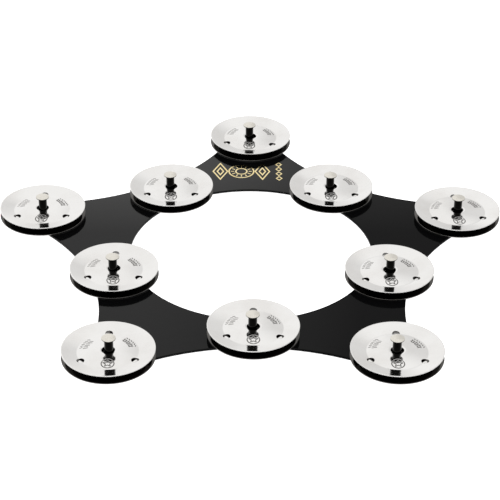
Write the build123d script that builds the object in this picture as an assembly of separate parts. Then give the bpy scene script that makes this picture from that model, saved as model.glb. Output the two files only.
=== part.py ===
from build123d import *
import os
from math import cos, radians, sin, sqrt

# A flat tambourine that lies on a hi-hat cymbal. A thin star-shaped plate with a
# large centre hole carries ten headed posts, five at the tips and five in the
# valleys, and each post holds two loose jingles set back to back.
# Millimetres. The origin is the centre of the hole at the plate's underside,
# +Z points up along the posts and +Y points at the first tip.

# Plate.
arm_count = 5
plate_thickness = 1.3
hole_radius = 69.2
post_margin = 12.5  # plate left between a post's axis and the nearest edge
tip_post_circle = 128.5  # radius of the circle through the tip posts
edge_round = 0.3  # top edges of the plate

# Jingles. Heights in a jingle are counted from the underside of its crease.
sheet = 0.5
jingle_radius = 25.0
crease_radius = 16.4
rim_rise = 2.15  # crease to rim
dome_rise = 1.4  # crease to the dome's crown
crease_round = 1.5
rim_round = 0.2
rattle_hole_radius = 2.0  # three small holes on the crease
rattle_hole_count = 3

# Posts.
shank_radius = 2.4
head_radius = 3.8
head_edge = 0.55  # straight edge of the head
head_crown = 0.35  # dome on top of the head
head_flare = 1.0  # height of the hollow cone under the head
post_height = 12.5  # plate to the head's crown

# Screws that hold the posts from below.
thread_radius = 1.5
screw_head_radius = 2.5
screw_reach = 6.0  # thread inside the post
tapped_spare = 0.8  # tapped hole past the screw's end
socket_across_flats = 2.0
socket_depth = 0.8

# Clearances.
hole_side_play = 1.15  # shank to the edge of a centred jingle's hole
seat_gap = 0.1  # under each resting jingle
screw_hole_play = 0.1

# How each jingle lies on its post, tips first: the direction in which it has
# slipped to the side, the share of its side play it has used, and its turn.
tip_lie = [(-20, 0.61, -4), (114, 0.61, 0.5), (145, 0.43, 1.5), (61, 0.52, -2), (235, 0.48, 1)]
valley_lie = [(-27, 0.61, 0), (26, 0.65, 0), (-15, 0.35, -0.5), (231, 0.65, 2.5), (12, 0.57, -2)]

# Sizes that follow from the ones above.
arm_step = 360.0 / arm_count
valley_post_circle = hole_radius + post_margin
valley_radius = valley_post_circle + post_margin
jingle_hole_radius = shank_radius + hole_side_play
screw_head_height = screw_head_radius - thread_radius  # a 90 degree countersink
head_top = plate_thickness + post_height
head_under = head_top - head_crown - head_edge


def cap_height(radius, edge_radius, rise):
    """Height at a radius of a spherical cap above its edge circle."""
    sphere_radius = (edge_radius**2 + rise**2) / (2 * rise)
    return rise - sphere_radius + sqrt(sphere_radius**2 - radius**2)


def polar(radius, angle):
    """Point in the plate's plane at a radius and an angle in degrees."""
    return Vector(radius * cos(radians(angle)), radius * sin(radians(angle)), 0)


def flank_radius():
    """Radius of the hollow arc that touches two tip rounds and the valley round."""
    reach = tip_post_circle * cos(radians(arm_step / 2))
    spread = tip_post_circle**2 + valley_radius**2 - 2 * reach * valley_radius
    return (spread - post_margin**2) / (2 * (reach + post_margin - valley_radius))


def touch_point(tip_angle, valley_angle):
    """Point where a tip's round meets the flank arc of a valley."""
    tip = polar(tip_post_circle, tip_angle)
    flank_centre = polar(valley_radius + flank_radius(), valley_angle)
    return tip + (flank_centre - tip).normalized() * post_margin


def star_outline():
    """The plate's outer edge: a round at each tip and a hollow arc between tips."""
    arcs = []
    for arm in range(arm_count):
        tip_angle = 90 + arm * arm_step
        before = tip_angle - arm_step / 2
        after = tip_angle + arm_step / 2
        start = touch_point(tip_angle, before)
        end = touch_point(tip_angle, after)
        next_start = touch_point(tip_angle + arm_step, after)
        arcs.append(ThreePointArc(start, polar(tip_post_circle + post_margin, tip_angle), end))
        arcs.append(ThreePointArc(end, polar(valley_radius, after), next_start))
    return make_face(Curve() + arcs)


def make_plate(stations):
    """Star plate with its centre hole, softened top edges and countersunk holes."""
    outline = star_outline() - Circle(hole_radius)
    plate = extrude(outline, amount=plate_thickness)
    top_edges = plate.faces().sort_by(Axis.Z)[-1].edges()
    plate = fillet(top_edges, edge_round)
    drill_radius = thread_radius + screw_hole_play
    drill = Cylinder(drill_radius, plate_thickness, align=(Align.CENTER, Align.CENTER, Align.MIN))
    countersink = Cone(
        screw_head_radius,
        thread_radius,
        screw_head_height,
        align=(Align.CENTER, Align.CENTER, Align.MIN),
    )
    for station in stations:
        plate -= Pos(station["centre"]) * (drill + countersink)
    return plate


def make_post():
    """Headed post standing on the plate, with a tapped hole in its foot."""
    flare_start = head_under - head_flare
    flare_middle = (
        shank_radius + 0.3 * (head_radius - shank_radius),
        head_under - 0.35 * head_flare,
    )
    edge_top = head_under + head_edge
    middle_radius = head_radius / 2
    crown_middle = (middle_radius, edge_top + cap_height(middle_radius, head_radius, head_crown))
    outline = [
        Line((0, plate_thickness), (shank_radius, plate_thickness)),
        Line((shank_radius, plate_thickness), (shank_radius, flare_start)),
        ThreePointArc((shank_radius, flare_start), flare_middle, (head_radius, head_under)),
        Line((head_radius, head_under), (head_radius, edge_top)),
        ThreePointArc((head_radius, edge_top), crown_middle, (0, head_top)),
        Line((0, head_top), (0, plate_thickness)),
    ]
    profile = Plane.XZ * make_face(Curve() + outline)
    post = revolve(profile, Axis.Z)
    tapped = Cylinder(
        thread_radius, screw_reach + tapped_spare, align=(Align.CENTER, Align.CENTER, Align.MIN)
    )
    return post - Pos(0, 0, plate_thickness) * tapped


def make_screw():
    """Countersunk screw with a hexagon socket, flush with the plate's underside."""
    bottom = (Align.CENTER, Align.CENTER, Align.MIN)
    head = Cone(screw_head_radius, thread_radius, screw_head_height, align=bottom)
    thread_length = plate_thickness + screw_reach - screw_head_height
    thread = Cylinder(thread_radius, thread_length, align=bottom)
    socket_radius = socket_across_flats / sqrt(3)
    socket = extrude(RegularPolygon(socket_radius, 6), amount=socket_depth)
    return head + Pos(0, 0, screw_head_height) * thread - socket


def dome_height(radius):
    """Height of a jingle's dome above its crease at a radius."""
    return cap_height(radius, crease_radius, dome_rise)


def make_jingle():
    """Dished steel disc: a low dome inside the crease and a rising ring outside it."""
    middle_radius = (jingle_hole_radius + crease_radius) / 2
    hole_edge = Vector(jingle_hole_radius, dome_height(jingle_hole_radius))
    dome_middle = Vector(middle_radius, dome_height(middle_radius))
    crease = Vector(crease_radius, 0)
    rim = Vector(jingle_radius, rim_rise)
    up = Vector(0, sheet)
    outline = [
        ThreePointArc(hole_edge, dome_middle, crease),
        Line(crease, rim),
        Line(rim, rim + up),
        Line(rim + up, crease + up),
        ThreePointArc(crease + up, dome_middle + up, hole_edge + up),
        Line(hole_edge + up, hole_edge),
    ]
    profile = make_face(Curve() + outline)
    profile = fillet(profile.vertices().group_by(Axis.X)[-1], rim_round)
    crease_corners = [
        corner for corner in profile.vertices() if abs(corner.X - crease_radius) < rim_round
    ]
    profile = fillet(crease_corners, crease_round)
    jingle = revolve(Plane.XZ * profile, Axis.Z)
    for turn in range(rattle_hole_count):
        place = polar(crease_radius, 90 + turn * 360 / rattle_hole_count)
        jingle -= Pos(place) * Cylinder(rattle_hole_radius, 4 * (rim_rise + sheet))
    return Pos(0, 0, -jingle.bounding_box().min.Z) * jingle


def make_stations():
    """Name, place and lie of every post, tips first and then valleys."""
    stations = []
    for arm in range(arm_count):
        tip_angle = 90 + arm * arm_step
        groups = [
            ("tip", tip_post_circle, tip_angle, tip_lie),
            ("valley", valley_post_circle, tip_angle + arm_step / 2, valley_lie),
        ]
        for kind, circle, angle, lies in groups:
            slip_angle, slip_share, turn = lies[arm % len(lies)]
            centre = polar(circle, angle)
            slip = polar(slip_share * hole_side_play, slip_angle)
            stations.append(
                {"name": f"{kind}_{arm + 1}", "centre": centre, "lie": centre + slip, "turn": turn}
            )
    return stations


def save(solid, node):
    export_step(solid, f"parts/{node}.step")
    print(node)


def main():
    os.makedirs("parts", exist_ok=True)
    stations = make_stations()
    post = make_post()
    screw = make_screw()
    jingle = make_jingle()
    depth = jingle.bounding_box().max.Z
    # Turned over, a jingle's small holes lie between those of the one above it.
    flipped = Pos(0, 0, depth) * Rot(180, 0, 0) * jingle
    lower_base = plate_thickness + seat_gap
    upper_base = lower_base + depth + seat_gap
    save(make_plate(stations), "plate")
    for station in stations:
        name = station["name"]
        save(Pos(station["centre"]) * post, f"post_{name}")
        save(Pos(station["centre"]) * screw, f"screw_{name}")
        lie = Pos(station["lie"]) * Rot(0, 0, station["turn"])
        lower = lie * Pos(0, 0, lower_base) * flipped
        upper = lie * Pos(0, 0, upper_base) * jingle
        save(lower, f"lower_jingle_{name}")
        save(upper, f"upper_jingle_{name}")
    print(f"flank arc radius {flank_radius():.2f}")
    print(f"jingle depth {depth:.3f}, upper jingle's underside at {upper_base:.3f}")


main()
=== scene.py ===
import math
import bmesh
import bpy
import numpy as np
from mathutils import Matrix, Vector


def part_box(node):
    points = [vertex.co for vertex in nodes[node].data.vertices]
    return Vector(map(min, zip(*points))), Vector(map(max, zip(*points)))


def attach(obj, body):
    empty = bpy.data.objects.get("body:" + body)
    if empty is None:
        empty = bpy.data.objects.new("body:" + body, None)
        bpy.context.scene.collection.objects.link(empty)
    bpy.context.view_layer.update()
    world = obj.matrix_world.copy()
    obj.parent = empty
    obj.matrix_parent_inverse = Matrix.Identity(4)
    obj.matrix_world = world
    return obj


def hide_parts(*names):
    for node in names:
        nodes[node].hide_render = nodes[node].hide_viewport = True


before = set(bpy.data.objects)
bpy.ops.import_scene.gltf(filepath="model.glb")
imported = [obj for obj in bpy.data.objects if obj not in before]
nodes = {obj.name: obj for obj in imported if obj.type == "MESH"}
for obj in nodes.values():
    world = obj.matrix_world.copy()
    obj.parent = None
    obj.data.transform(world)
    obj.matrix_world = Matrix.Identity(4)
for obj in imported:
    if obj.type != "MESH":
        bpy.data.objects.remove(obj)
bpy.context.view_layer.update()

mm = 0.001  # the shapes below are written in millimetres
stationNames = [f"{kind}_{number}" for number in range(1, 6) for kind in ("tip", "valley")]
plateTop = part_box("plate")[1].z / mm


def gridQuads(rows, columns):
    # corner numbers of the quads of a grid of points numbered row by row
    corner = np.arange(rows * columns).reshape(rows, columns)
    sides = (corner[:-1, :-1], corner[:-1, 1:], corner[1:, 1:], corner[1:, :-1])
    return np.stack(sides, axis=-1).reshape(-1, 4)


def joinPatches(patches):
    # patches are (points, quads); the quads are renumbered so that all share one list of points
    starts = np.cumsum([0] + [len(points) for points, quads in patches[:-1]])
    points = np.concatenate([points for points, quads in patches])
    quads = np.concatenate([patch[1] + start for patch, start in zip(patches, starts)])
    return points, quads


def weld(points, quads, step=1e-4):
    # points that round to the same step become one, and a quad that lost a corner becomes a triangle
    keys = np.round(points / step).astype(np.int64)
    firstSeen, number = np.unique(keys, axis=0, return_index=True, return_inverse=True)[1:]
    quads = number.reshape(-1)[quads]
    same = quads == np.roll(quads, -1, axis=1)
    whole = quads[same.sum(axis=1) == 0].tolist()
    cut = quads[same.sum(axis=1) == 1]
    keep = ~(cut == np.roll(cut, -1, axis=1))
    triangles = cut[keep].reshape(-1, 3).tolist()
    return points[firstSeen], whole + triangles


def meshFrom(name, points, faces):
    mesh = bpy.data.meshes.new(name)
    mesh.from_pydata((points * mm).tolist(), [], faces)
    shell = bmesh.new()
    shell.from_mesh(mesh)
    bmesh.ops.recalc_face_normals(shell, faces=shell.faces)
    shell.to_mesh(mesh)
    shell.free()
    mesh.shade_smooth()
    local = mesh.attributes.new("local", "FLOAT_VECTOR", "POINT")
    local.data.foreach_set("vector", points.astype(np.float32).ravel())
    return mesh


def place(name, mesh, spot, material, turn=0.0, flip=False):
    # a copy of the mesh, turned over if asked, turned about its own axis and set at a spot
    copy = mesh.copy()
    move = Matrix.Translation(Vector(spot) * mm) @ Matrix.Rotation(math.radians(turn), 4, "Z")
    if flip:
        move = move @ Matrix.Rotation(math.pi, 4, "X")
    copy.transform(move)
    piece = bpy.data.objects.new(name, copy)
    bpy.context.collection.objects.link(piece)
    copy.materials.append(material)
    return piece


def newMaterial(name):
    material = bpy.data.materials.new(name)
    material.use_nodes = True
    tree = material.node_tree
    shader = tree.nodes["Principled BSDF"]
    return material, tree, shader


def addNode(tree, kind, inputs=None, **settings):
    node = tree.nodes.new(kind)
    for key, value in settings.items():
        setattr(node, key, value)
    for key, value in (inputs or {}).items():
        if isinstance(value, bpy.types.NodeSocket):
            tree.links.new(value, node.inputs[key])
        else:
            node.inputs[key].default_value = value
    return node


def noiseOf(tree, vector, scale, detail, roughness=0.55):
    inputs = {"Vector": vector, "Scale": scale, "Detail": detail, "Roughness": roughness}
    return addNode(tree, "ShaderNodeTexNoise", inputs).outputs["Fac"]


def rampTo(tree, value, low, high, fromLow=0.0, fromHigh=1.0):
    inputs = {"Value": value, "From Min": fromLow, "From Max": fromHigh, "To Min": low, "To Max": high}
    return addNode(tree, "ShaderNodeMapRange", inputs).outputs["Result"]


def mathOf(tree, operation, first, second=0.0):
    return addNode(tree, "ShaderNodeMath", {0: first, 1: second}, operation=operation).outputs[0]


def attributeOf(tree, label, output):
    return addNode(tree, "ShaderNodeAttribute", attribute_name=label).outputs[output]


def mixColour(tree, factor, first, second):
    node = addNode(tree, "ShaderNodeMix", data_type="RGBA")
    for socket, value in ((node.inputs[0], factor), (node.inputs[6], first), (node.inputs[7], second)):
        if isinstance(value, bpy.types.NodeSocket):
            tree.links.new(value, socket)
        else:
            socket.default_value = value
    return node.outputs[2]


def bumpOf(tree, height, strength, distance, under=None):
    inputs = {"Height": height, "Strength": strength, "Distance": distance}
    if under is not None:
        inputs["Normal"] = under
    return addNode(tree, "ShaderNodeBump", inputs).outputs["Normal"]


plateLook = {
    "colour": (0.0035, 0.0035, 0.0038, 1),
    "dustColour": (0.010, 0.010, 0.011, 1),
    "roughness": (0.045, 0.085),
    "specular": (0.15, 0.036),  # painted sheen: reflection strength on the left and on the right
    "acrossMetres": (-0.06, 0.06),
    "backGain": 1.6,  # painted sheen: extra reflection strength towards the back arm
    "backMetres": (0.02, 0.09),
    "wave": 260.0,  # orange peel per metre
    "haze": 38.0,
    "hazeSpan": (0.3, 0.7),
    "dust": 1900.0,
    "dustSpan": (0.74, 0.80),  # only the highest peaks of the noise become specks
    "bump": (0.05, 0.0004),  # strength, and depth in metres
}


def makePlateMaterial():
    # gloss black moulded sheet: faint orange peel, uneven haze, a few dust specks, and a painted sheen
    # whose reflection strength falls off to the right and grows towards the back
    look = plateLook
    material, tree, shader = newMaterial("glossBlackSheet")
    coords = addNode(tree, "ShaderNodeTexCoord").outputs["Object"]
    haze = noiseOf(tree, coords, look["haze"], 4.0)
    peel = noiseOf(tree, coords, look["wave"], 2.0)
    dust = noiseOf(tree, coords, look["dust"], 1.0)
    specks = rampTo(tree, dust, 0.0, 1.0, *look["dustSpan"])
    colour = mixColour(tree, specks, look["colour"], look["dustColour"])
    tree.links.new(colour, shader.inputs["Base Color"])
    roughness = rampTo(tree, haze, *look["roughness"], *look["hazeSpan"])
    tree.links.new(roughness, shader.inputs["Roughness"])
    split = addNode(tree, "ShaderNodeSeparateXYZ", {"Vector": coords})
    # painted sheen: reflection strength set by place, weaker to the right and stronger towards the back
    across = rampTo(tree, split.outputs["X"], *look["specular"], *look["acrossMetres"])
    gain = rampTo(tree, split.outputs["Y"], 1.0, 1.0 + look["backGain"], *look["backMetres"])
    paintedSheen = mathOf(tree, "MULTIPLY", across, gain)
    tree.links.new(paintedSheen, shader.inputs["Specular IOR Level"])
    tree.links.new(bumpOf(tree, peel, *look["bump"]), shader.inputs["Normal"])
    return material


steelLook = {
    "colour": (0.88, 0.873, 0.863, 1),
    "warmColour": (0.82, 0.806, 0.79, 1),
    "inkColour": (0.11, 0.105, 0.10, 1),
    "innerShadeColour": (0.11, 0.105, 0.10, 1),  # painted shade: near black on the faces turned to each other and on the hole walls
    "roughness": (0.055, 0.13),
    "inkRoughness": 0.5,
    "edgeMetal": 0.25,  # the cut rim is finely scratched, so it scatters light
    "ringsPerMm": 3.2,
    "ringWear": 0.5,  # share of the rings in the wear
    "ringBump": (0.22, 0.00004),
    "grain": 1500.0,
    "grainBump": (0.10, 0.00006),
    "smudge": 55.0,
    "smudgeSpan": (0.42, 0.68),
    "wearSpan": (0.55, 1.0),
}


def makeSteelMaterial():
    # bright satin steel: fine spun rings, polishing grain, smudges, dark stamped lines, and painted
    # shade that turns the inner faces and hole walls near black
    look = steelLook
    material, tree, shader = newMaterial("satinSteel")
    local = attributeOf(tree, "local", "Vector")
    stamp, inner, rim = [attributeOf(tree, label, "Fac") for label in ("stamp", "inner", "rim")]
    objectPlace = addNode(tree, "ShaderNodeTexCoord").outputs["Object"]
    split = addNode(tree, "ShaderNodeSeparateXYZ", {"Vector": local})
    squareX = mathOf(tree, "MULTIPLY", split.outputs["X"], split.outputs["X"])
    squareY = mathOf(tree, "MULTIPLY", split.outputs["Y"], split.outputs["Y"])
    radius = mathOf(tree, "SQRT", mathOf(tree, "ADD", squareX, squareY))
    ringPlace = addNode(tree, "ShaderNodeCombineXYZ", {"X": radius, "Y": 0.0, "Z": 0.0}).outputs[0]
    rings = noiseOf(tree, ringPlace, look["ringsPerMm"], 5.0, 0.7)
    grain = noiseOf(tree, objectPlace, look["grain"], 3.0, 0.6)
    smudge = noiseOf(tree, objectPlace, look["smudge"], 4.0, 0.5)
    smudged = rampTo(tree, smudge, 0.0, 1.0, *look["smudgeSpan"])
    tint = mixColour(tree, smudged, look["colour"], look["warmColour"])
    # painted shade: where the inner mark is set, the steel is coloured near black
    shadePainted = mixColour(tree, inner, tint, look["innerShadeColour"])
    colour = mixColour(tree, stamp, shadePainted, look["inkColour"])
    tree.links.new(colour, shader.inputs["Base Color"])
    tree.links.new(rampTo(tree, rim, 1.0, look["edgeMetal"]), shader.inputs["Metallic"])
    low, high = look["roughness"]
    wear = mathOf(tree, "ADD", smudge, mathOf(tree, "MULTIPLY", rings, look["ringWear"]))
    worn = rampTo(tree, wear, low, high, *look["wearSpan"])
    inked = mathOf(tree, "MULTIPLY", stamp, look["inkRoughness"] - high)
    tree.links.new(mathOf(tree, "ADD", worn, inked), shader.inputs["Roughness"])
    grainBump = bumpOf(tree, grain, *look["grainBump"])
    ringBump = bumpOf(tree, rings, *look["ringBump"], grainBump)
    tree.links.new(ringBump, shader.inputs["Normal"])
    return material


postLook = {
    "colour": (0.80, 0.775, 0.715, 1),
    "wornColour": (0.70, 0.665, 0.60, 1),
    "shankColour": (0.012, 0.0115, 0.011, 1),
    "headFrom": (11.95, 12.10),  # heights in millimetres over which dark shank turns to bright head
    "roughness": (0.05, 0.14),
    "roughSpan": (0.35, 0.7),
    "marks": 1.3,
    "markSpan": (0.4, 0.7),
    "lines": 2.0,
    "lineStretch": (0.25, 0.25, 6.0),
    "bump": (0.12, 0.00004),
}


def makePostMaterial():
    # polished nickel head on a shank coloured near black: faint turning lines and handling marks
    look = postLook
    material, tree, shader = newMaterial("polishedNickel")
    local = attributeOf(tree, "local", "Vector")
    stretch = {"Vector": local, "Scale": look["lineStretch"]}
    turned = addNode(tree, "ShaderNodeMapping", stretch).outputs[0]
    lines = noiseOf(tree, turned, look["lines"], 4.0)
    marks = noiseOf(tree, local, look["marks"], 4.0)
    marked = rampTo(tree, marks, 0.0, 1.0, *look["markSpan"])
    bright = mixColour(tree, marked, look["colour"], look["wornColour"])
    split = addNode(tree, "ShaderNodeSeparateXYZ", {"Vector": local})
    onHead = rampTo(tree, split.outputs["Z"], 0.0, 1.0, *look["headFrom"])
    colour = mixColour(tree, onHead, look["shankColour"], bright)
    tree.links.new(colour, shader.inputs["Base Color"])
    shader.inputs["Metallic"].default_value = 1.0
    roughness = rampTo(tree, marks, *look["roughness"], *look["roughSpan"])
    tree.links.new(roughness, shader.inputs["Roughness"])
    tree.links.new(bumpOf(tree, lines, *look["bump"]), shader.inputs["Normal"])
    return material


screwLook = {
    "colour": (0.52, 0.53, 0.54, 1),
    "paleColour": (0.72, 0.72, 0.71, 1),
    "mottle": 1400.0,
    "roughness": (0.22, 0.42),
    "bump": (0.15, 0.00005),
}


def makeScrewMaterial():
    # zinc plated steel: mottled and slightly dull
    look = screwLook
    material, tree, shader = newMaterial("zincSteel")
    coords = addNode(tree, "ShaderNodeTexCoord").outputs["Object"]
    mottle = noiseOf(tree, coords, look["mottle"], 4.0)
    colour = mixColour(tree, mottle, look["colour"], look["paleColour"])
    tree.links.new(colour, shader.inputs["Base Color"])
    shader.inputs["Metallic"].default_value = 1.0
    tree.links.new(rampTo(tree, mottle, *look["roughness"]), shader.inputs["Roughness"])
    tree.links.new(bumpOf(tree, mottle, *look["bump"]), shader.inputs["Normal"])
    return material


goldLook = {
    "colour": (0.93, 0.72, 0.30, 1),
    "paleColour": (0.98, 0.86, 0.52, 1),
    "pits": 900.0,
    "tintSpan": (0.35, 0.7),
    "roughness": (0.08, 0.17),
    "roughSpan": (0.3, 0.7),
    "bump": (0.25, 0.00004),
}


def makeGoldMaterial():
    # hot stamped gold foil: bright, with small pits in the foil
    look = goldLook
    material, tree, shader = newMaterial("goldFoil")
    coords = addNode(tree, "ShaderNodeTexCoord").outputs["Object"]
    pits = noiseOf(tree, coords, look["pits"], 4.0, 0.65)
    tint = rampTo(tree, pits, 0.0, 1.0, *look["tintSpan"])
    colour = mixColour(tree, tint, look["paleColour"], look["colour"])
    tree.links.new(colour, shader.inputs["Base Color"])
    shader.inputs["Metallic"].default_value = 1.0
    roughness = rampTo(tree, pits, *look["roughness"], *look["roughSpan"])
    tree.links.new(roughness, shader.inputs["Roughness"])
    tree.links.new(bumpOf(tree, pits, *look["bump"]), shader.inputs["Normal"])
    return material


jingle = {
    "holeRadius": 3.55,
    "rimRadius": 24.98,
    "creaseRadius": 16.4,
    "sheet": 0.5,
    "domeRise": 1.4,
    "rimRise": 2.15,
    "creaseSoftness": 0.13,  # how far the crease is filled
    "lipWidth": 1.1,  # the punched edge of the hole curls down over this width
    "lipDrop": 0.30,
    "rattleRadius": 2.0,
    "rattleAngles": (90.0, 210.0, 330.0),
    "rattleHalfWidth": 13.0,  # degrees of ring given to each small hole
    "rattleBand": (13.9, 18.9),  # radii of that ring
    "edgeRound": 0.2,
    "unshadedBand": 1.0,  # either side of the crease the inner face is left bright, without the painted shade
    "unshadedFade": 0.4,
    "underShare": 0.2,  # share of the sheet's thickness that counts as its underside
    "wallShare": (0.05, 0.85),  # the same for the walls of the holes
    "wallMargin": 1.0,  # the outer rim is no hole's wall
    "capReach": 24.9,  # from this radius on the dome's sphere goes on level
    "lipEnd": 5.0,
    "lipRows": 7,
    "domeRows": (12, 62),  # in the plain mesh and in the fine one
    "bandRows": (12, 26),
    "ringRows": 10,
    "blockRows": 6,
    "edgeRows": 7,
    "stampDepth": 0.10,
}

# columns of the mesh: from, to, count in the plain mesh and in the fine one; even over each
# small hole's block and close together where the stamps are
jingleColumns = [
    (-17, 12, 8, 8), (12, 56, 8, 80), (56, 77, 6, 6), (77, 103, 12, 12), (103, 128, 7, 7),
    (128, 172, 8, 80), (172, 197, 7, 7), (197, 223, 12, 12), (223, 245, 6, 6),
    (245, 295, 12, 96), (295, 317, 6, 6), (317, 343, 12, 12),
]

stampMarks = {
    "lineWidth": 0.42,
    "softness": 0.18,
    "markPlace": -11.6,
    "markRadius": 3.3,
    "starRadii": (2.5, 1.15),
    "step": 6.4,  # degrees from one stroke to the next
    "leftArc": (135.0, 168.0),
    "rightArc": (17.0, 50.0),
    # both ends of each stroke: radius, what every other stroke adds to it, degrees past the step
    "leftStrokes": [((11.6, -0.5, 0.0), (13.4, 0.0, 3.4)), ((14.2, 0.0, -1.0), (15.3, 0.0, 2.0))],
    "rightStrokes": [
        ((11.2, 0.0, -2.2), (13.4, 0.5, 2.2)), ((11.2, 0.5, 2.2), (13.4, 0.0, -2.2)),
        ((14.6, 0.0, -1.9), (15.2, 0.0, 1.9)),
    ],
}


def sheetHeight(x, y):
    # underside of the sheet: a spherical cap and a cone joined by a soft maximum, which is half
    # their sum, plus half the root of their squared difference plus the squared softness, less
    # half the softness; a lip that curls down near the hole is taken off
    radius = np.hypot(x, y)
    crease, rise, softness = jingle["creaseRadius"], jingle["domeRise"], jingle["creaseSoftness"]
    sphere = (crease ** 2 + rise ** 2) / (2 * rise)
    cap = rise - sphere + np.sqrt(sphere ** 2 - np.minimum(radius, jingle["capReach"]) ** 2)
    cone = (radius - crease) * jingle["rimRise"] / (jingle["rimRadius"] - crease)
    soft = np.sqrt((cap - cone) ** 2 + softness ** 2)
    lip = np.clip(1 - (radius - jingle["holeRadius"]) / jingle["lipWidth"], 0, 1)
    return (cap + cone + soft) / 2 - softness / 2 - jingle["lipDrop"] * lip ** 2


def strokeDistance(x, y, strokes):
    # distance from each point to the nearest of some straight strokes (x0, y0, x1, y1)
    strokes = np.asarray(strokes)[:, None, :]
    alongX = strokes[..., 2] - strokes[..., 0]
    alongY = strokes[..., 3] - strokes[..., 1]
    fromX = x[None, :] - strokes[..., 0]
    fromY = y[None, :] - strokes[..., 1]
    share = np.clip((fromX * alongX + fromY * alongY) / (alongX ** 2 + alongY ** 2), 0, 1)
    return np.hypot(fromX - share * alongX, fromY - share * alongY).min(axis=0)


def polarPoint(radius, degrees):
    return radius * np.cos(np.radians(degrees)), radius * np.sin(np.radians(degrees))


def closedStrokes(corners):
    # strokes that join corners (x, y) in a closed line
    corners = np.asarray(corners)
    return np.concatenate([corners, np.roll(corners, -1, axis=0)], axis=1)


def starCorners(points, outer, inner, centre):
    # corners of a star with one point straight up
    angles = 90.0 + np.arange(2 * points) * 180.0 / points
    radii = np.where(np.arange(2 * points) % 2 == 0, outer, inner)
    x, y = polarPoint(radii, angles)
    return np.stack([x + centre[0], y + centre[1]], axis=1)


def stampPattern(x, y):
    # 0 to 1: a star in a ring at the front, and at the back an arc of slanted strokes on the
    # left and one of small crosses on the right
    marks = stampMarks
    markPlace, softness = marks["markPlace"], marks["softness"]
    ring = np.abs(np.hypot(x, y - markPlace) - marks["markRadius"])
    corners = starCorners(5, *marks["starRadii"], (0.0, markPlace))
    star = strokeDistance(x, y, closedStrokes(corners))
    strokes = []
    for side in ("left", "right"):
        for step, angle in enumerate(np.arange(*marks[f"{side}Arc"], marks["step"])):
            for ends in marks[f"{side}Strokes"]:
                places = [polarPoint(radius + more * (step % 2), angle + past)
                          for radius, more, past in ends]
                strokes.append([*places[0], *places[1]])
    nearest = np.minimum(np.minimum(ring, star), strokeDistance(x, y, strokes))
    edge = np.clip((marks["lineWidth"] / 2 + softness / 2 - nearest) / softness, 0, 1)
    return edge * edge * (3 - 2 * edge)


def jingleAngles(fine):
    parts = [np.linspace(low, high, (many if fine else few) + 1)[:-1]
             for low, high, few, many in jingleColumns]
    return np.concatenate(parts + [[float(jingleColumns[-1][1])]])


def jingleRows(fine):
    # row radii: the hole's edge, the dome, the band of small holes, the outer ring
    first = jingle["holeRadius"] + jingle["edgeRound"]
    last = jingle["rimRadius"] - jingle["edgeRound"]
    low, high = jingle["rattleBand"]
    lip = np.linspace(first, jingle["lipEnd"], jingle["lipRows"])[:-1]
    dome = np.linspace(jingle["lipEnd"], low, jingle["domeRows"][fine])[:-1]
    band = np.linspace(low, high, jingle["bandRows"][fine])
    ring = np.linspace(high, last, jingle["ringRows"])[1:]
    return np.concatenate([lip, dome, band, ring]), len(lip) + len(dome), len(band)


def holeBlock(angles, radii, middle):
    # a block of the ring with a round hole: each border point is carried in a straight
    # line to the hole's circle, in the direction in which it is seen from the hole's centre
    bottom = np.stack([np.full(len(angles), radii[0]), angles], axis=1)
    right = np.stack([radii, np.full(len(radii), angles[-1])], axis=1)
    top = np.stack([np.full(len(angles), radii[-1]), angles[::-1]], axis=1)
    left = np.stack([radii[::-1], np.full(len(radii), angles[0])], axis=1)
    border = np.concatenate([bottom[:-1], right[:-1], top[:-1], left])
    x, y = polarPoint(border[:, 0], border[:, 1])
    holeX, holeY = polarPoint(jingle["creaseRadius"], middle)
    facing = np.arctan2(y - holeY, x - holeX)
    reach = jingle["rattleRadius"] + jingle["edgeRound"]
    endX, endY = holeX + reach * np.cos(facing), holeY + reach * np.sin(facing)
    share = np.linspace(0, 1, jingle["blockRows"])[:, None]
    gridX, gridY = x + (endX - x) * share, y + (endY - y) * share
    return gridX, gridY, facing


def rattleBlocks(fine):
    # the block of each small hole
    angles = jingleAngles(fine)
    radii, bandStart, bandCount = jingleRows(fine)
    band = radii[bandStart:bandStart + bandCount]
    halfWidth = jingle["rattleHalfWidth"] + 0.01  # so that rounding loses no column
    middles = jingle["rattleAngles"]
    return [holeBlock(angles[np.abs(angles - middle) <= halfWidth], band, middle) for middle in middles]


def jingleSide(fine, upper):
    # one side of the sheet: the full polar grid less the blocks, and the blocks with their holes
    angles = jingleAngles(fine)
    radii, bandStart, bandCount = jingleRows(fine)
    gridX, gridY = polarPoint(radii[:, None], angles[None, :])
    quads = gridQuads(len(radii), len(angles))
    row, column = np.divmod(np.arange(len(quads)), len(angles) - 1)
    middleAngle = (angles[:-1] + angles[1:])[column] / 2
    inBand = (row >= bandStart) & (row < bandStart + bandCount - 1)
    offset = np.abs(np.mod(middleAngle[:, None] - np.array(jingle["rattleAngles"]) + 180, 360) - 180)
    inBlock = offset.min(axis=1) < jingle["rattleHalfWidth"]
    patches = [(gridX, gridY, quads[~(inBand & inBlock)])]
    for block in rattleBlocks(fine):
        patches.append((block[0], block[1], gridQuads(*block[0].shape)))
    made = []
    for x, y, quads in patches:
        x, y = x.ravel(), y.ravel()
        z = sheetHeight(x, y)
        if upper:
            stamp = stampPattern(x, y) if fine else np.zeros_like(x)
            z = z + jingle["sheet"] - jingle["stampDepth"] * stamp
        made.append((np.stack([x, y, z], axis=1), quads[:, ::-1] if upper else quads))
    return made


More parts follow.
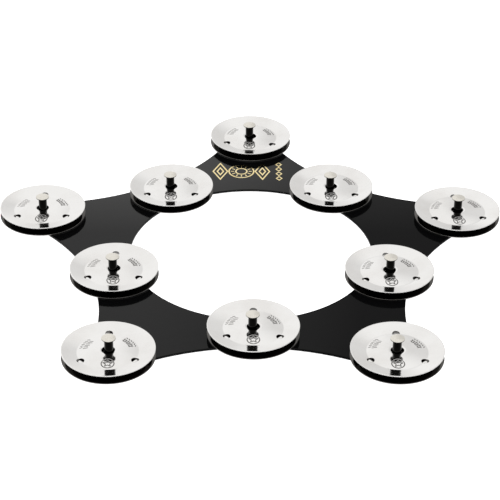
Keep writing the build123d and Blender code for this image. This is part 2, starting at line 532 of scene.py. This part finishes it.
def roundedEdge(x, y, outX, outY, inwards):
    # half round strip from the top sheet's edge to the bottom sheet's, bulging along (outX, outY)
    swing = np.linspace(90, -90, jingle["edgeRows"])[:, None]
    bulgeX, bulgeZ = polarPoint(1.0, swing)
    stripX = x + outX * jingle["edgeRound"] * bulgeX
    stripY = y + outY * jingle["edgeRound"] * bulgeX
    stripZ = sheetHeight(x, y) + jingle["sheet"] / 2 * (1 + bulgeZ)
    strips = np.broadcast_arrays(stripX, stripY, stripZ)
    points = np.stack([strip.ravel() for strip in strips], axis=1)
    quads = gridQuads(len(swing), len(x))
    return points, quads[:, ::-1] if inwards else quads


def makeJingleMesh(name, fine):
    # the whole sheet with its rounded edges, and what the steel's look needs at each point: the stamps,
    # the painted shade of the inner faces and hole walls, and the scratched rim; only the fine mesh is
    # stamped
    angles = jingleAngles(fine)
    radii = jingleRows(fine)[0]
    patches = jingleSide(fine, True) + jingleSide(fine, False)
    outX, outY = polarPoint(1.0, angles)
    patches.append(roundedEdge(radii[-1] * outX, radii[-1] * outY, outX, outY, True))
    patches.append(roundedEdge(radii[0] * outX, radii[0] * outY, -outX, -outY, False))
    for blockX, blockY, facing in rattleBlocks(fine):
        outX, outY = -np.cos(facing), -np.sin(facing)
        patches.append(roundedEdge(blockX[-1], blockY[-1], outX, outY, False))
    points, faces = weld(*joinPatches(patches))
    mesh = meshFrom(name, points, faces)
    under = sheetHeight(points[:, 0], points[:, 1])
    onTop = points[:, 2] > under + jingle["sheet"] / 2
    stamp = stampPattern(points[:, 0], points[:, 1]) * onTop * float(fine)
    radius = np.hypot(points[:, 0], points[:, 1])
    share = (points[:, 2] - under) / jingle["sheet"]
    # painted shade: undersides away from the crease and the walls of the holes are marked for near
    # black
    offCrease = np.abs(radius - jingle["creaseRadius"]) - jingle["unshadedBand"]
    away = np.clip(offCrease / jingle["unshadedFade"], 0, 1)
    low, high = jingle["wallShare"]
    inside = radius < jingle["rimRadius"] - jingle["wallMargin"]
    holeWall = (share > low) & (share < high) & inside
    inner = np.maximum((share < jingle["underShare"]) * away, holeWall)
    rim = (radius > jingle["rimRadius"] - 0.5 * jingle["edgeRound"]) * float(fine)
    for label, values in (("stamp", stamp), ("inner", inner), ("rim", rim)):
        layer = mesh.attributes.new(label, "FLOAT", "POINT")
        layer.data.foreach_set("value", values.astype(np.float32))
    return mesh


post = {
    "shankRadius": 2.4,
    "headRadius": 3.8,
    "edge": 0.55,
    "edgeRound": 0.16,
    "crown": 0.35,
    "flare": 1.0,
    "flarePower": 2.2,
    "height": 12.5,
    "footChamfer": 0.1,
    "shankEnds": (0.6, 0.1),  # how far the shank's rows stay off the foot and off the flare
    "crownMeets": 80,  # degrees up the rounded edge at which the crown begins
    "shankRows": 9,
    "flareRows": 12,
    "edgeRows": 6,
    "crownRows": 14,
    "columns": 96,
}


def makePostMesh():
    # profile carried round the axis: foot, shank, hollow flare, rounded edge, and a crown that
    # falls with the square of the radius
    shank, edgeRound, crown = post["shankRadius"], post["edgeRound"], post["crown"]
    chamfer, height = post["footChamfer"], post["height"]
    centreR = post["headRadius"] - edgeRound
    edgeLow = height - crown - post["edge"]
    flareShare = np.linspace(0, 1, post["flareRows"])
    flareR = shank + (centreR - shank) * flareShare ** post["flarePower"]
    flareZ = edgeLow - post["flare"] * (1 - flareShare)
    lowR, lowZ = polarPoint(edgeRound, np.linspace(-90, 0, post["edgeRows"]))
    highSwing = np.linspace(0, post["crownMeets"], post["edgeRows"])
    highR, highZ = polarPoint(edgeRound, highSwing)
    crownR = np.linspace(centreR, 0, post["crownRows"])
    crownZ = height - crown * (crownR / post["headRadius"]) ** 2
    footR, footZ = [0, shank / 2, shank - chamfer, shank], [0, 0, 0, chamfer]
    shankR = np.full(post["shankRows"], shank)
    shankLow, underFlare = post["shankEnds"]
    shankZ = np.linspace(shankLow, edgeLow - post["flare"] - underFlare, post["shankRows"])
    edgeZ = np.concatenate([edgeLow + edgeRound + lowZ, crownZ[0] - edgeRound + highZ])
    profileR = np.concatenate([footR, shankR, flareR, centreR + lowR, centreR + highR, crownR])
    profileZ = np.concatenate([footZ, shankZ, flareZ, edgeZ, crownZ])
    angles = np.linspace(0, 360, post["columns"] + 1)
    x, y = polarPoint(profileR[:, None], angles[None, :])
    z = np.broadcast_to(profileZ[:, None], x.shape)
    points = np.stack([x.ravel(), y.ravel(), z.ravel()], axis=1)
    points, faces = weld(points, gridQuads(len(profileR), len(angles)))
    return meshFrom("post", points, faces)


ornament = {
    "thickness": 0.04,
    "lineWidth": 0.85,
    "sink": 0.01,  # how far the strips reach into the plate
    "centre": (-5.2, 91.0),
    "ringRadii": (7.6, 3.4),
    "rayReach": (4.5, 6.4),
    "thinShare": 0.8,  # width of the rays and small lozenges compared with the other lines
    "pairOffset": 12.9,
    "pairHalves": ((4.4, 9.6), (1.9, 4.2)),
    "columnX": 17.8,
    "columnHalves": (1.7, 2.2),
    "columnStart": -8.4,
    "columnStep": 5.6,
}


def ribbon(corners, width, closed):
    # flat strip of a given width that follows corners (x, y), with mitred turns and two sides
    corners = np.asarray(corners, dtype=float)
    if closed:
        before, after = np.roll(corners, 1, axis=0), np.roll(corners, -1, axis=0)
    else:
        before = np.concatenate([2 * corners[:1] - corners[1:2], corners[:-1]])
        after = np.concatenate([corners[1:], 2 * corners[-1:] - corners[-2:-1]])
    back, ahead = corners - before, after - corners
    back /= np.linalg.norm(back, axis=1, keepdims=True)
    ahead /= np.linalg.norm(ahead, axis=1, keepdims=True)
    mitre = np.stack([-(back + ahead)[:, 1], (back + ahead)[:, 0]], axis=1)
    mitre /= np.linalg.norm(mitre, axis=1, keepdims=True)
    squareness = np.abs(mitre[:, 0] * -ahead[:, 1] + mitre[:, 1] * ahead[:, 0])
    mitre *= (width / 2 / np.maximum(squareness, 0.4))[:, None]
    if closed:
        corners, mitre = np.concatenate([corners, corners[:1]]), np.concatenate([mitre, mitre[:1]])
    low, high = plateTop - ornament["sink"], plateTop + ornament["thickness"]
    section = [(-1, low), (-1, high), (1, high), (1, low), (-1, low)]
    rows = [np.column_stack([corners + side * mitre, np.full(len(corners), height)])
            for side, height in section]
    points = np.concatenate(rows)
    patches = [(points, gridQuads(len(section), len(corners)))]
    if not closed:
        for end, order in ((0, [3, 2, 1, 0]), (len(corners) - 1, [0, 1, 2, 3])):
            cap = np.array([rows[line][end] for line in order])
            patches.append((cap, np.array([[0, 1, 2, 3]])))
    return joinPatches(patches)


def ringCorners(centre, radius, count=48):
    x, y = polarPoint(radius, np.arange(count) * 360.0 / count)
    return np.stack([centre[0] + x, centre[1] + y], axis=1)


def lozengeCorners(centre, halfX, halfY):
    x, y = centre
    return [(x - halfX, y), (x, y - halfY), (x + halfX, y), (x, y + halfY)]


def makeOrnament():
    # a sun in a ring between two pairs of lozenges, with a column of small lozenges beside it
    centreX, centreY = ornament["centre"]
    line = ornament["lineWidth"]
    thin = line * ornament["thinShare"]
    parts = [ribbon(ringCorners((centreX, centreY), radius), line, True)
             for radius in ornament["ringRadii"]]
    for angle in np.arange(12) * 30.0:
        ends = [polarPoint(radius, angle) for radius in ornament["rayReach"]]
        ray = [(centreX + x, centreY + y) for x, y in ends]
        parts.append(ribbon(ray, thin, False))
    for side in (-1, 1):
        middle = (centreX + side * ornament["pairOffset"], centreY)
        for halves in ornament["pairHalves"]:
            parts.append(ribbon(lozengeCorners(middle, *halves), line, True))
    for step in range(4):
        height = centreY + ornament["columnStart"] + step * ornament["columnStep"]
        corners = lozengeCorners((ornament["columnX"], height), *ornament["columnHalves"])
        parts.append(ribbon(corners, thin, True))
    points, faces = weld(*joinPatches(parts))
    mesh = meshFrom("ornament", points, faces)
    mesh.shade_flat()
    return mesh


print("materials")
steel = makeSteelMaterial()
nickel = makePostMaterial()
zinc = makeScrewMaterial()
blackSheet = makePlateMaterial()
gold = makeGoldMaterial()


def paintNode(name, material):
    mesh = nodes[name].data
    for number in range(max(1, len(mesh.materials))):
        if number < len(mesh.materials):
            mesh.materials[number] = material
        else:
            mesh.materials.append(material)


paintNode("plate", blackSheet)
for name in stationNames:
    paintNode(f"screw_{name}", zinc)

print("jingles and posts")
upperMesh = makeJingleMesh("upperJingle", True)
lowerMesh = makeJingleMesh("lowerJingle", False)
postMesh = makePostMesh()
tipTurns = (-4.0, 0.5, 1.5, -2.0, 1.0)  # degrees, station by station
valleyTurns = (0.0, 0.0, -0.5, 2.5, -2.0)


def seatOf(node, onTop=False):
    # middle of a node's box at its underside or its top, in millimetres
    low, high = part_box(node)
    middle = (low + high) / 2 / mm
    return middle.x, middle.y, (high if onTop else low).z / mm


for name in stationNames:
    kind, number = name.split("_")
    turn = (tipTurns if kind == "tip" else valleyTurns)[int(number) - 1]
    piece = place(f"post_{name}_polished", postMesh, seatOf(f"post_{name}"), nickel)
    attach(piece, "frame_plate")
    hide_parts(f"post_{name}")
    seat = seatOf(f"upper_jingle_{name}")
    piece = place(f"upper_jingle_{name}_steel", upperMesh, seat, steel, turn)
    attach(piece, f"upper_jingle_{name}_body")
    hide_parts(f"upper_jingle_{name}")
    seat = seatOf(f"lower_jingle_{name}", onTop=True)
    piece = place(f"lower_jingle_{name}_steel", lowerMesh, seat, steel, turn, flip=True)
    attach(piece, f"lower_jingle_{name}_body")
    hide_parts(f"lower_jingle_{name}")

print("ornament")
foil = place("gold_ornament", makeOrnament(), (0, 0, 0), gold)
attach(foil, "frame_plate")


studio = {
    "cameraElevation": 32.4,
    "cameraAzimuth": -0.84,
    "cameraRoll": 0.59,
    "cameraDistance": 1.057,
    "aim": (0.0, -0.0074, 0.0053),  # from the plate's top
    "lens": 134.0,
    "shiftX": -0.0028,
    "skyStrength": 0.98,
    "darkSide": (0.42, 0.415, 0.41, 1),
    "brightSide": (1.0, 0.995, 0.985, 1),
    "horizonShare": 0.62,  # brightness at the horizon compared with higher up
    "rightDimming": 0.34,  # share of light lost low on the right
    # parts of the sky's direction over which each change takes place
    "behindSpan": (-0.45, 0.15),
    "overheadSpan": (0.66, 0.90),
    "horizonSpan": (-0.12, 0.26),
    "rightSpan": (-0.02, 0.17),
    "lowSpan": (0.55, 0.78),
}

floorLook = {
    "halfWidth": 12.0,
    "level": -0.0004,  # metres
    "colour": (0.9, 0.9, 0.9, 1),
    "roughness": 0.9,
    "glow": 0.95,
}

softbox = {
    "size": (1.0, 0.7),
    "energy": 2.4,
    "place": (-0.25, -0.2, 1.9),
    "tilt": (6, -8),  # degrees
}


def makeCamera():
    # orbit camera: a distance back from the aim point along azimuth and elevation, then rolled
    azimuth = math.radians(studio["cameraAzimuth"])
    elevation = math.radians(studio["cameraElevation"])
    level = math.cos(elevation)
    back = Vector((math.sin(azimuth) * level, -math.cos(azimuth) * level, math.sin(elevation)))
    data = bpy.data.cameras.new("camera")
    data.lens = studio["lens"]
    data.sensor_width = 36.0
    data.shift_x = studio["shiftX"]
    camera = bpy.data.objects.new("camera", data)
    bpy.context.collection.objects.link(camera)
    aim = Vector(studio["aim"]) + Vector((0, 0, plateTop * mm))
    camera.location = aim + back * studio["cameraDistance"]
    facing = (-back).to_track_quat("-Z", "Y").to_matrix().to_4x4()
    roll = Matrix.Rotation(math.radians(studio["cameraRoll"]), 4, "Z")
    camera.matrix_world = Matrix.Translation(camera.location) @ facing @ roll
    bpy.context.scene.camera = camera


def makeFloor():
    # pale ground that mirrors in nothing, just below the plate
    look = floorLook
    data = bpy.data.meshes.new("floor")
    half, level = look["halfWidth"], look["level"]
    square = [(-half, -half, level), (half, -half, level), (half, half, level), (-half, half, level)]
    data.from_pydata(square, [], [(0, 1, 2, 3)])
    floor = bpy.data.objects.new("floor", data)
    bpy.context.collection.objects.link(floor)
    material, tree, shader = newMaterial("paleFloor")
    shader.inputs["Base Color"].default_value = look["colour"]
    shader.inputs["Roughness"].default_value = look["roughness"]
    shader.inputs["Specular IOR Level"].default_value = 0.0
    shader.inputs["Emission Color"].default_value = (1, 1, 1, 1)
    shader.inputs["Emission Strength"].default_value = look["glow"]
    data.materials.append(material)
    floor.visible_glossy = False


def makeSky():
    # soft white room: bright behind and above, dimmer at the horizon and low on the right,
    # dark in front
    world = bpy.data.worlds.new("studio")
    bpy.context.scene.world = world
    world.use_nodes = True
    tree = world.node_tree
    direction = addNode(tree, "ShaderNodeTexCoord").outputs["Generated"]
    split = addNode(tree, "ShaderNodeSeparateXYZ", {"Vector": direction})
    sideways, forwards, upwards = split.outputs

    def smooth(value, span):
        inputs = {"Value": value, "From Min": span[0], "From Max": span[1]}
        node = addNode(tree, "ShaderNodeMapRange", inputs, interpolation_type="SMOOTHSTEP")
        return node.outputs["Result"]

    behind = smooth(forwards, studio["behindSpan"])
    overhead = smooth(upwards, studio["overheadSpan"])
    lit = mathOf(tree, "MAXIMUM", behind, overhead)
    horizon = rampTo(tree, smooth(upwards, studio["horizonSpan"]), studio["horizonShare"], 1.0)
    right = smooth(sideways, studio["rightSpan"])
    lowDown = mathOf(tree, "SUBTRACT", 1.0, smooth(upwards, studio["lowSpan"]))
    lowRight = mathOf(tree, "MULTIPLY", right, lowDown)
    dimming = mathOf(tree, "MULTIPLY", lowRight, studio["rightDimming"])
    shaded = mathOf(tree, "MULTIPLY", horizon, mathOf(tree, "SUBTRACT", 1.0, dimming))
    amount = mathOf(tree, "MULTIPLY", lit, shaded)
    colour = mixColour(tree, amount, studio["darkSide"], studio["brightSide"])
    background = tree.nodes["Background"]
    tree.links.new(colour, background.inputs["Color"])
    background.inputs["Strength"].default_value = studio["skyStrength"]


def makeSoftbox():
    data = bpy.data.lights.new("overhead", "AREA")
    data.shape = "RECTANGLE"
    data.size, data.size_y = softbox["size"]
    data.energy = softbox["energy"]
    light = bpy.data.objects.new("overhead", data)
    light.location = softbox["place"]
    tiltX, tiltY = softbox["tilt"]
    light.rotation_euler = (math.radians(tiltX), math.radians(tiltY), 0)
    bpy.context.collection.objects.link(light)


print("studio")
makeCamera()
makeFloor()
makeSky()
makeSoftbox()
bpy.context.scene.view_settings.view_transform = "Standard"
